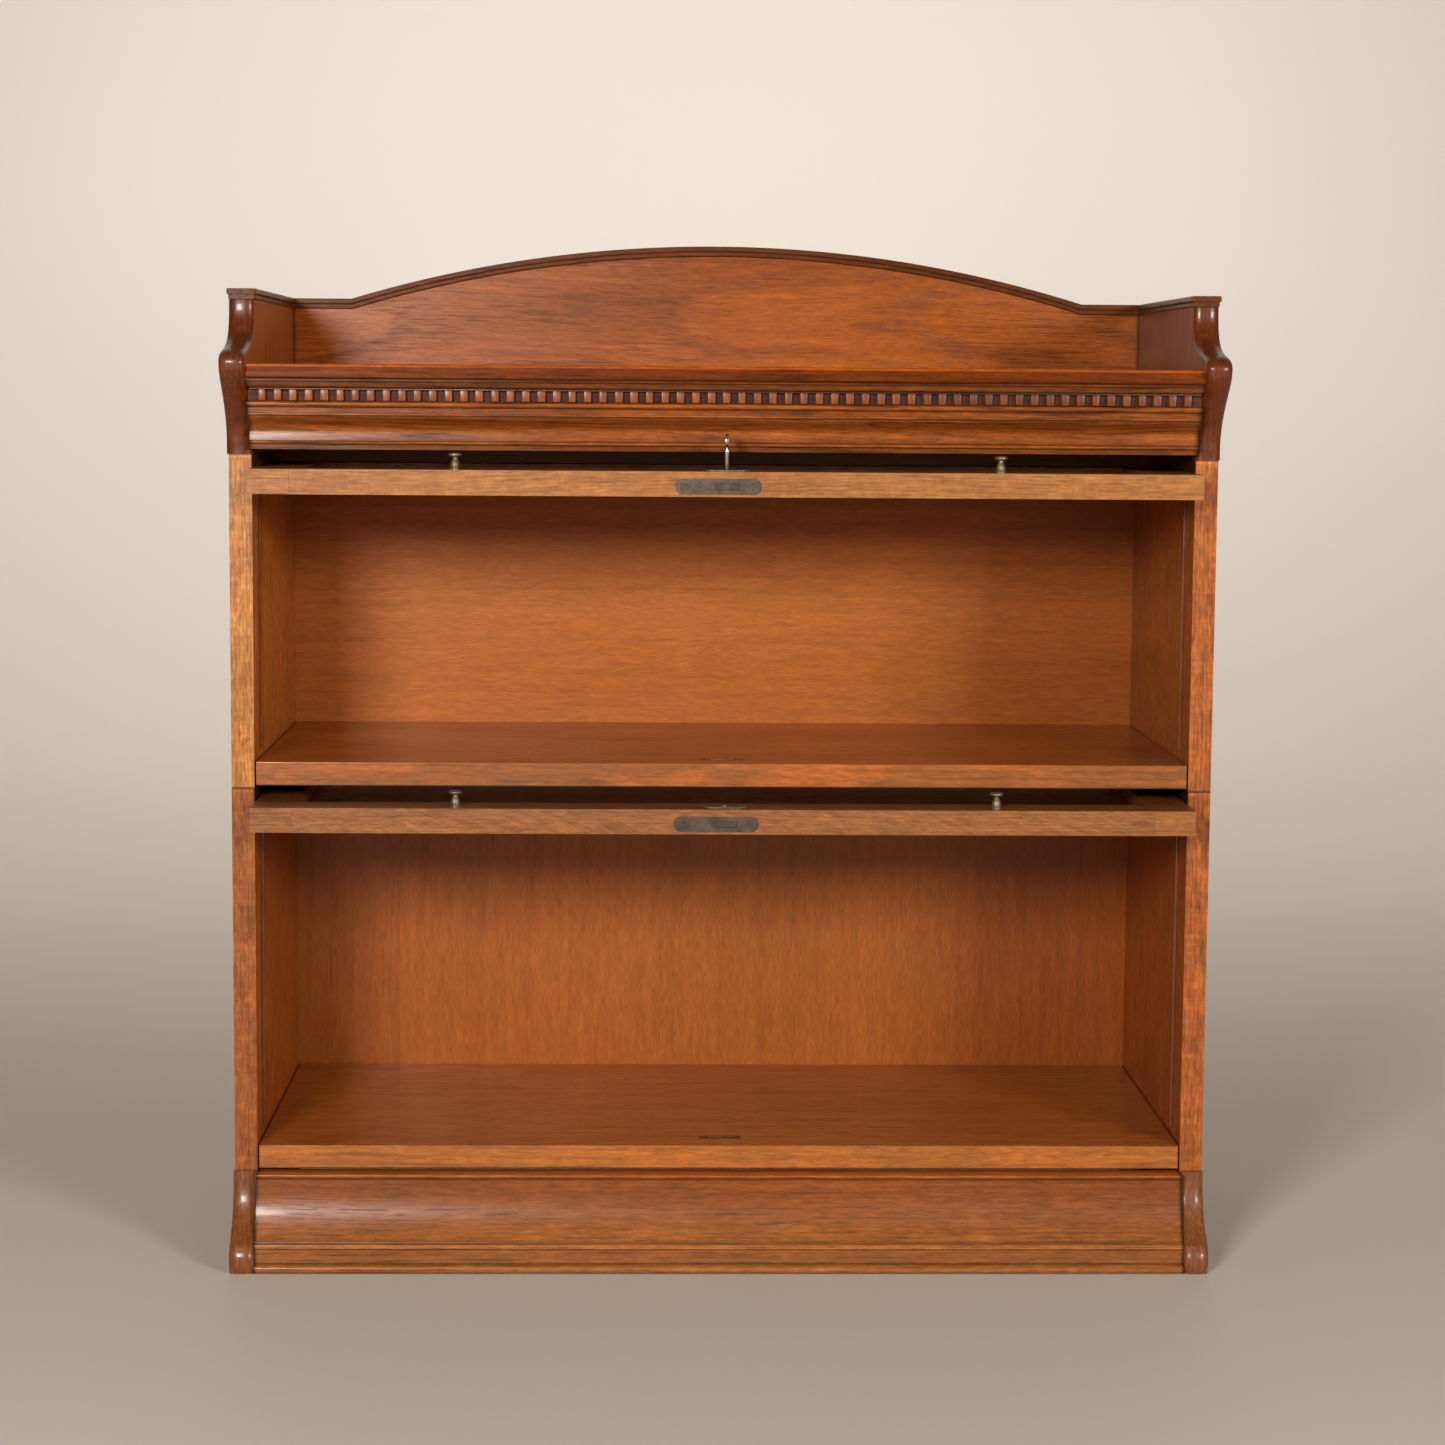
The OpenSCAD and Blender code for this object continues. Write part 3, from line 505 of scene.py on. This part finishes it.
# the backs carry painted shade along the width: darker and warmer towards the right, a touch darker and bluer at the
# left
back_kw = dict(painted_shade_x=[(-422, (0.92, 0.94, 1.05)), (-330, 1.0), (140, 1.0), (300, (0.92, 0.84, 0.72)), (422, (0.9, 0.82, 0.7))], grain=0.16, pore=0.2, ring=0.2, streak=0.3, mottle=0.14, rough=(0.3, 0.42), coat=0.06, spec=0.25, pore_scale=0.9)
# the backs' top strip carries painted shade from the open door's shadow
M_back1 = oak("ply_back_1", "Z", 11.3, **pal("back", .72, .55, .24), pitch=16, pith=(0.09, 0.1), bands=back_top_shade("s1_back"), band_face=B("s1_back")[0].y, **back_kw)
M_back2 = oak("ply_back_2", "X", 12.9, **pal("back", .82, .66, .28), pitch=15, pith=(0.12, 0.1), bands=back_top_shade("s2_back"), band_face=B("s2_back")[0].y, **back_kw)
give("s1_back", M_back1, 0.0005)
give("s2_back", M_back2, 0.0005)
M_bead = oak("oak_bead", "Z", 14.1, **pal("dark", 1.1, 1.0, .8), pore=0.3, ring=0.2, rough=(0.2, 0.32), coat=0.5)
give("s1_stop_beads", M_bead, 0.0008, 3)
give("s2_stop_beads", M_bead, 0.0008, 3)
M_plain = oak("oak_inner", "X", 15.5, **pal("plain", .8, .72, .6), coat=0.0, rough=(0.5, 0.65))
for n in ("base_back_rail", "base_glue_blocks", "locating_dowels"):
    give(n, M_plain, 0.0005)
for n in ("s1_strike", "s2_strike"):
    give(n, M_strike, 0.0003)
zt_ = ZT / mm
# bands: a painted highlight along the top arris, partly a worn edge, and painted shade along the lower edge of the
# front face
M_board = oak("oak_top_board", "X", 17.2, **pal("mould", .72, .54, .24), pitch=6, pith=(0.0, 0.1), ring=0.45, dash=0.6, dash_scale=1.5, coat=0.0, spec=0.1, edge=(B("top_board")[0].y, (.70, .60, .12)),
              bands=[(zt_ - 12.9, 0.35), (zt_ - 11.8, 0.7), (zt_ - 8, 0.9), (zt_ - 3.6, 0.8), (zt_ - 2.8, 0.7), (zt_ - 2.4, 2.0), (zt_ - 0.3, 2.2), (zt_ - 0.05, 1.0), (zt_, 1.0)])
give("top_board", M_board, 0.0011, 3)
# painted shade on the front face below the top board's line, which lies in shadow, and in the corners at either side
M_gal = oak("oak_gallery", "X", 18.4, corner_shade=(HI, 0.0035, 0.3), band_face=B("gallery_back")[0].y, **pal("mould", 1.05, .80, .24), pitch=5.2, pith=(0.045, -0.84), drift=0.034, ring=0.4, pore=0.6, grain=0.2, dash=0.5, dash_scale=2.2, pore_scale=1.5, coat=0.1, spec=0.3, rough=(0.26, 0.36), mottle=0.35,
            bands=[(zt_ - 14, 0.1), (zt_ - 2, 0.12), (zt_ - 0.2, 0.3), (zt_ + 1.5, 1.0)])
give("gallery_back", M_gal, 0.0008)
M_cap = oak("oak_cap", "X", 19.6, **pal("dark", .74, .62, .3), pore=0.4, ring=0.4, rough=(0.3, 0.42), coat=0.03, spec=0.16)
M_capy = oak("oak_cap_side", "Y", 20.3, **pal("dark", .7, .58, .28), pore=0.4, ring=0.4, rough=(0.3, 0.42), coat=0.03, spec=0.16)
give("gallery_cap_back", M_cap, 0.0009, 3)
give("gallery_cap_left", M_capy, 0.0009, 3)
give("gallery_cap_right", M_capy, 0.0009, 3)
for d, k, kk in (("d1_", 21.0, (.50, .36, .22)), ("d2_", 27.0, (.67, .52, .30))):
    tilt = 62 if d == "d1_" else 0
    rkw = dict(grain=0.26, mottle=0.6, rough=(0.34, 0.48), coat=0.08, spec=0.35, pore_scale=1.2, blotch=0.16, ring=0.25, streak=0.4)
    yb_ = B(d + "rail_bottom")[0].y
    inn = dict(edge=(yb_, (1.5, 1.75, 2.2)))
    dk = (kk[0] / 1.5, kk[1] / 1.75, kk[2] / 2.2)
    give(d + "stile_left", oak("oak_%sstile_l" % d, "X", k + 0.3, **pal("rail", *dk), fleck=0.4, pitch=3.2, pith=(0.2, 0.1), **rkw, **inn), 0.0004)
    give(d + "stile_right", oak("oak_%sstile_r" % d, "X", k + 0.9, **pal("rail", *dk), fleck=0.4, pitch=3.2, pith=(0.2, 0.1), **rkw, **inn), 0.0004)
    give(d + "rail_top", oak("oak_%srail_t" % d, "X", k + 1.6, **pal("rail", *dk), fleck=0.35, **rkw), 0.0012)
    give(d + "rail_bottom", oak("oak_%srail_b" % d, "X", k + 2.2, **pal("rail", *dk), fleck=0.85 if d == "d1_" else 0.4, fleck_tilt=tilt, pitch=3.2, pith=(0.2, 0.1), **rkw, **inn), 0.0005)
    give(d + "glazing_beads", oak("oak_%sgbead" % d, "X", k + 3.1, **pal("dark", .7, .6, .5)), 0.0005)
    give(d + "glass", M_glass, 0)
    give(d + "runners", M_iron, 0.0004)
    give(d + "equaliser", M_iron, 0.0004)
    give(d + "pivot_pins", M_key, 0)
    give(d + "knobs", M_brass, 0)
    give(d + "escutcheon", M_brass, 0.0003)
    give(d + "lock", M_plate, 0.0003)
    give(d + "lock_screws", M_bolt, 0.0001)
    give(d + "bolt", M_bolt, 0.0003)
give("key", M_key, 0.0002)

# ------------------------------------------------------------------ base: bracket feet and plinth
BH = Z1 / mm
D = (Y1 - Y0) / mm
foot_front = (curve((0, BH), (-1, BH - 36), (-17, BH - 47), (-33, 26), 34)
              + curve((-34.2, 23), (-38.5, 16), (-40, 6), (-33, 0), 22))
dkw = dict(pore=0.45, ring=0.3, streak=0.5, mottle=0.3, rough=(0.26, 0.38), coat=0.22, coat_rough=0.08, spec=0.32)
M_footL = oak("oak_foot_l", "Z", 31.0, **pal("dark", 1.4, 1.5, 1.3), **dkw)
M_footR = oak("oak_foot_r", "Z", 32.7, **pal("dark", 1.15, 1.25, 1.2), **dkw)
for s, nm, m in ((-1, "left", M_footL), (1, "right", M_footR)):
    x0, x1 = (-BX, -HI) if s < 0 else (HI, BX)
    p = bull_x("base_foot_%s_shaped" % nm, x0, x1, foot_front, [(D, 0), (D, BH)], m)
    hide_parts("base_foot_" + nm)

plinth = ([(8, 0), (8, BH), (-12, BH), (-12.9, BH - 0.5), (-13.2, BH - 1.4), (-13.0, BH - 2.6), (-11.5, BH - 4.2)]
          + curve((-11.5, BH - 5), (-12.3, BH - 27), (-18, 44), (-28.6, 28), 40)
          + [(-29, 27)]
          + arc((-31, 25), 2, 90, 180, 10)
          + [(-33, 22.5), (-31.6, 21.5), (-31.6, 9)]
          + arc((-31, 4.4), 4.4, 120, 270, 18))
def warm(table):
    # the foot of the plinth is paler, its top redder
    out = []
    for z, f in table:
        u = min(max((z - 24) / 22.0, 0), 1)
        v = min(max((z - 46) / 22.0, 0), 1)
        lo_, mi_, hi_ = (1.05, 1.17, 1.5), (0.9, 0.93, 1.25), (0.97, 0.84, 0.68)
        c = [lo_[i] + (mi_[i] - lo_[i]) * u + (hi_[i] - mi_[i]) * v for i in range(3)]
        out.append((z, tuple(f * q for q in c)))
    return out
# bands: painted shade in the creases of the profile and along the bottom, painted highlights on the bead and the
# rounded arrises; the corners by the feet get painted shade
M_plinth = oak("oak_plinth", "X", 34.2, corner_shade=(HI, 0.003, 0.25), **pal("mould", .80, .78, .52), pitch=4.5, pith=(0.2, 0.02), rough=(0.24, 0.36), coat=0.16, coat_rough=0.09, spec=0.3, grain=0.22, mottle=0.5, dash=0.14, dash_scale=2, pore=0.6, ring=0.2, streak=0.4,
               bands=warm([(0, 0.45), (2, 0.85), (4.4, 1.15), (8.4, 0.95), (9.2, 0.3), (10.5, 0.9), (21, 0.9), (22.4, 0.28), (23.2, 1.35), (25.4, 1.2), (27.2, 0.9),
                      (28.2, 0.6), (29.5, 1.08), (44, 1.06), (BH - 20, 0.86), (BH - 6, 0.82), (BH - 4.4, 0.3), (BH - 3.4, 0.6), (BH - 1.2, 1.35), (BH, 1.2)]))
p = prism_x("base_plinth_moulded", -HI, HI, plinth, M_plinth, cuts=8)
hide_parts("base_plinth")

for n, m in (("base_foot_left", M_footL), ("base_foot_right", M_footR), ("base_plinth", M_plinth)):
    give(n, m, 0)

# ------------------------------------------------------------------ top unit: brackets, cornice, dentils
z3, zt, zc = Z3 / mm, ZT / mm, ZC / mm
br_front = (curve((23, zc - 9.5), (24, zc - 36), (12, zc - 44), (-20, zc - 50.5), 40)
            + curve((-24, zc - 51), (-44, zc - 54), (-50.5, zc - 57), (-50, zc - 66), 30)
            + curve((-49.6, zc - 70), (-43, zc - 86), (-8, zc - 100), (0, z3 + 14), 36)
            + [(0, z3)])
M_brL = oak("oak_bracket_l", "Z", 36.1, **pal("dark", .78, .58, .3), side_tint=(2.9, 3.1, 1.5), **dkw)
M_brR = oak("oak_bracket_r", "Z", 37.8, **pal("dark", .7, .46, .2), side_tint=(1.42, 1.36, .9), **dkw)
for s, nm, m in ((-1, "left", M_brL), (1, "right", M_brR)):
    x0, x1 = (-BX, -HI) if s < 0 else (HI, BX)
    p = bull_x("top_bracket_%s_shaped" % nm, x0, x1, br_front, [(D, z3), (D, zc - 9.5)], m)
    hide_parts("top_bracket_" + nm)

cor = ([(18, z3 + 4.7), (18, zt - 12.9), (-37, zt - 12.9), (-37, zt - 14.6)]
       + curve((-36, zt - 15.4), (-36, zt - 18), (-34.5, zt - 20), (-31.5, zt - 21), 12)
       + [(-24, zt - 21), (-24, z3 + 46.8), (-27.5, z3 + 46.8)]
       + arc((-27.5, z3 + 44.1), 2.7, 90, 270, 16)
       + [(-24, z3 + 41.2), (-24, z3 + 36.4), (-25.5, z3 + 35.8), (-25.5, z3 + 34.4)]
       + curve((-24.5, z3 + 33.8), (-24, z3 + 29), (-13, z3 + 27.5), (-11.2, z3 + 22), 26)
       + curve((-11.2, z3 + 22), (-10.9, z3 + 20.2), (-11.3, z3 + 17.2), (-12, z3 + 12.4), 22)[1:]
       + [(-12.8, z3 + 11.9), (-13.2, z3 + 11.2), (-12.8, z3 + 9.8), (-7, z3 + 9), (-7, z3 + 4.7)])
# bands: painted shade in the hollows and behind the dentils, painted highlights on the arrises; the corners by the
# brackets get painted shade
M_cor = oak("oak_cornice", "X", 39.3, corner_shade=(HI, 0.004, 0.3), **pal("mould", .84, .72, .44), pitch=5, pith=(0.03, -0.745), drift=0.026, ring=0.6, rough=(0.2, 0.32), coat=0.2, coat_rough=0.12, spec=0.2, dash=0.55, dash_scale=1.7, pore=0.7,
            bands=[(z3 + 4.7, 0.6), (z3 + 9, 0.6), (z3 + 9.7, 0.7), (z3 + 11.4, 1.5), (z3 + 12.3, 0.3), (z3 + 13.8, 0.8), (z3 + 18, 1.1), (z3 + 27, 0.95), (z3 + 32.6, 0.7),
                   (z3 + 33.8, 0.35), (z3 + 34.5, 0.45), (z3 + 35.4, 1.4), (z3 + 36.3, 1.1), (z3 + 36.9, 0.8), (z3 + 41, 0.75), (z3 + 42, 0.7), (z3 + 44.6, 1.1), (z3 + 46.2, 0.6),
                   (z3 + 46.9, 0.08), (zt - 21.1, 0.08), (zt - 20.6, 0.3), (zt - 19, 0.7), (zt - 16.5, 0.45), (zt - 15.2, 0.3), (zt - 14.2, 0.5), (zt - 12.9, 0.3)])
p = prism_x("top_cornice_moulded", -HI, HI, cor, M_cor, cuts=8)
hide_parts("top_cornice")

# dentils: hand-cut blocks on a strip, each a hair different in width and height
import random
rnd = random.Random(7)
dz0, dz1 = z3 + 46.8, zt - 21
pitch = 13.3
hi_mm = HI / mm
n_d = int((2 * hi_mm - 6) // pitch)
# bands: painted shade along the thin strip over the dentils, beneath the fillet, and along their foot
M_den = oak("oak_dentil", "Z", 41.7, **pal("mould", .62, .5, .34), pitch=3, pore=0.5, ring=0.35, rough=(0.3, 0.42), coat=0.06, spec=0.3, blotch=0.5,
            bands=[(dz0, 0.5), (dz0 + 1.2, 1.0), (dz1 - 2.2, 1.05), (dz1 - 1.2, 0.3), (dz1, 0.15)])
# the dark strip between the dentils is painted shade in the gaps
M_dentil_gap_shade = oak("oak_dentil_gap_painted_shade", "X", 43.1, **pal("dark", .42, .34, .3), pore=0.2, ring=0.2, rough=(0.4, 0.55), coat=0.0, spec=0.2)

def add_box(bm, lo, hi, r=0.0, mi=0):
    g = bmesh.ops.create_cube(bm, size=1.0)
    for v in g["verts"]:
        v.co = Vector((lo[0] + (v.co.x + 0.5) * (hi[0] - lo[0]), lo[1] + (v.co.y + 0.5) * (hi[1] - lo[1]), lo[2] + (v.co.z + 0.5) * (hi[2] - lo[2])))
    fs = {f for v in g["verts"] for f in v.link_faces}
    for f in fs:
        f.material_index = mi
    if r:
        es = list({e for f in fs for e in f.edges})
        bmesh.ops.bevel(bm, geom=es, offset=r, segments=2, profile=0.6, affect="EDGES", clamp_overlap=True)

bm = bmesh.new()
# a thin dark strip set between the dentils: painted shade in the gaps
add_box(bm, (-HI + 0.0002, Y0 - 25 * mm, dz0 * mm), (HI - 0.0002, Y0 - 24 * mm, dz1 * mm), 0, 1)
add_box(bm, (-HI + 0.002, Y0 - 31 * mm, (dz1 - 1.2) * mm), (HI - 0.002, Y0 - 25 * mm, dz1 * mm), 0.0002, 0)
for k in range(n_d):
    c = -n_d * pitch / 2 + (k + 0.5) * pitch + rnd.uniform(-0.25, 0.25)
    w = pitch * 0.46 / 2 + rnd.uniform(-0.22, 0.22)
    add_box(bm, ((c - w) * mm, Y0 + (-31 + rnd.uniform(0, 0.3)) * mm, (dz0 + rnd.uniform(0.02, 0.25)) * mm), ((c + w) * mm, Y0 - 24.9 * mm, (dz1 - 1.1) * mm), 0.0004, 0)
me = bpy.data.meshes.new("top_dentils_cut")
ob = bpy.data.objects.new("top_dentils_cut", me)
scene.collection.objects.link(ob)
finish_bm(bm, me, 40)
me.materials.append(M_den)
me.materials.append(M_dentil_gap_shade)
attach(ob, "root")
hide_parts("top_dentils")

for n, m in (("top_bracket_left", M_brL), ("top_bracket_right", M_brR), ("top_cornice", M_cor), ("top_dentils", M_den)):
    give(n, m, 0)

# ------------------------------------------------------------------ floor, backdrop, light, camera
def flat_mat(name, c, r=0.6):
    t = T(name)
    tc = t.n("ShaderNodeTexCoord").outputs["Object"]
    n1 = t.noise(tc, 0.7, 3, 0.5)
    t.put(t.b.inputs["Base Color"], t.mix(t.maprange(n1, 0.3, 0.7, 0, 1), c, tuple(0.97 * v for v in c)))
    t.b.inputs["Roughness"].default_value = r
    return t.mat

def backdrop():
    prof = [(-9.0, 0.0), (3.0, 0.0)]
    for i in range(1, 17):
        a = math.pi / 2 * i / 16
        prof.append((3.0 + 2.2 * math.sin(a), 2.2 - 2.2 * math.cos(a)))
    prof.append((5.2, 8.0))
    vs, fs = [], []
    for y, z in prof:
        vs += [(-11, y, z), (11, y, z)]
    for i in range(len(prof) - 1):
        fs.append((2 * i, 2 * i + 1, 2 * i + 3, 2 * i + 2))
    me = bpy.data.meshes.new("floor_sweep")
    me.from_pydata(vs, [], fs)
    for pz in me.polygons:
        pz.use_smooth = True
    ob = bpy.data.objects.new("floor_sweep", me)
    scene.collection.objects.link(ob)
    me.materials.append(flat_mat("floor_pale", srgb(222, 213, 203)))
backdrop()

def area(name, loc, target, size, power, color=(1, 1, 1), sy=None, spread=180):
    L = bpy.data.lights.new(name, "AREA")
    L.energy = power
    L.size = size
    if sy:
        L.shape = "RECTANGLE"
        L.size_y = sy
    L.color = color
    L.spread = math.radians(spread)
    o = bpy.data.objects.new(name, L)
    o.location = loc
    o.rotation_euler = (Vector(target) - Vector(loc)).to_track_quat("-Z", "Y").to_euler()
    scene.collection.objects.link(o)
    return o

# two soft boxes in front, one a little left and one to the right, both just above the case top
area("soft_left", (-1.11, -3.24, 1.33), (0, 0, 0.5), 0.68, 75, (1.0, 0.965, 0.9), 0.57)
area("soft_right", (2.18, -3.24, 1.33), (0, 0, 0.5), 0.95, 68, (1.0, 0.96, 0.89), 0.57)
area("backdrop_wash", (0, -0.8, 6.2), (0, 5.2, 1.1), 4.2, 98, (1, 0.99, 0.98), 1.6, 78)

w = bpy.data.worlds.new("world")
scene.world = w
w.use_nodes = True
bg = w.node_tree.nodes["Background"]
bg.inputs[0].default_value = (1.0, 0.82, 0.64, 1)
bg.inputs[1].default_value = 0.12

cam_d = bpy.data.cameras.new("cam")
cam = bpy.data.objects.new("cam", cam_d)
scene.collection.objects.link(cam)
scene.camera = cam
F_PX, yaw, pitch, roll = 3147.0, 0.0261, 0.1064, 0.0074
cam_d.sensor_width = 36.0
cam_d.lens = F_PX / 1445 * 36
cam_d.clip_start, cam_d.clip_end = 0.05, 60
fwd = Vector((math.sin(yaw) * math.cos(pitch), math.cos(yaw) * math.cos(pitch), -math.sin(pitch)))
right = Vector((math.cos(yaw), -math.sin(yaw), 0))
up = right.cross(fwd)
r2 = math.cos(roll) * right + math.sin(roll) * up
u2 = -math.sin(roll) * right + math.cos(roll) * up
cam.matrix_world = Matrix(((r2.x, u2.x, -fwd.x, -0.0728), (r2.y, u2.y, -fwd.y, -2.75386 + Y0), (r2.z, u2.z, -fwd.z, 0.7826), (0, 0, 0, 1)))

scene.view_settings.view_transform = "Standard"
scene.view_settings.look = "None"
